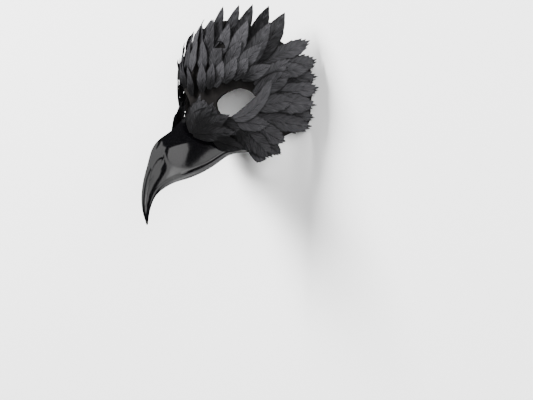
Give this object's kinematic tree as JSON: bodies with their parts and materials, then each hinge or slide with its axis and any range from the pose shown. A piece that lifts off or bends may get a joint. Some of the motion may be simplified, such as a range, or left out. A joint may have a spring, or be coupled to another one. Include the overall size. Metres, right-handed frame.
{
  "type": "raven costume mask",
  "caption": "Half mask with a long hooked hollow bird bill and overlapping leaf-shaped feathers over brow, temples and cheeks, lying on its open back.",
  "frame": {"origin": "centre of the bounding box in X and Y, at the height of the flat rear rim the mask lies on", "axes": "+X to the wearer's left, +Y up the face, +Z out of the face; the bill points out along +Z and hooks down towards -Y"},
  "size_m": [0.1962, 0.2448, 0.1939],
  "materials": {
    "shell": "matt moulded, dark brown-black",
    "bill": "smooth high gloss, black",
    "feather": "charcoal imitation leather with pressed barbs, satin"
  },
  "bodies": {
    "root": {"mask_shell": "shell", "bill": "bill", "feather_crown_left_1": "feather", "feather_crown_left_2": "feather", "feather_crown_left_3": "feather", "feather_crown_left_4": "feather", "feather_crown_left_5": "feather", "feather_crown_right_1": "feather", "feather_crown_right_2": "feather", "feather_crown_right_3": "feather", "feather_crown_right_4": "feather", "feather_upper_left_1": "feather", "feather_upper_left_2": "feather", "feather_upper_left_3": "feather", "feather_upper_left_4": "feather", "feather_upper_left_5": "feather", "feather_upper_right_1": "feather", "feather_upper_right_2": "feather", "feather_upper_right_3": "feather", "feather_upper_right_4": "feather", "feather_forehead_left_1": "feather", "feather_forehead_left_2": "feather", "feather_forehead_left_3": "feather", "feather_forehead_left_4": "feather", "feather_forehead_right_1": "feather", "feather_forehead_right_2": "feather", "feather_forehead_right_3": "feather", "feather_forehead_right_4": "feather", "feather_temple_left_1": "feather", "feather_temple_left_2": "feather", "feather_temple_left_3": "feather", "feather_temple_left_4": "feather", "feather_temple_left_5": "feather", "feather_temple_right_1": "feather", "feather_temple_right_2": "feather", "feather_temple_right_3": "feather", "feather_temple_right_4": "feather", "feather_temple_right_5": "feather", "feather_side_left_1": "feather", "feather_side_left_2": "feather", "feather_side_left_3": "feather", "feather_side_right_1": "feather", "feather_side_right_2": "feather", "feather_side_right_3": "feather", "feather_eye_corner_left_1": "feather", "feather_eye_corner_left_2": "feather", "feather_eye_corner_right_1": "feather", "feather_eye_corner_right_2": "feather", "feather_under_eye_upper_left_1": "feather", "feather_under_eye_upper_right_1": "feather", "feather_under_eye_lower_left_1": "feather", "feather_under_eye_lower_right_1": "feather", "feathers_cheek_outer_left": "feather", "feathers_cheek_outer_right": "feather", "feathers_cheek_inner_left": "feather", "feathers_cheek_inner_right": "feather", "feathers_brow_left": "feather", "feathers_brow_right": "feather", "feathers_nose_left": "feather", "feathers_nose_right": "feather"}
  },
  "joints": []
}
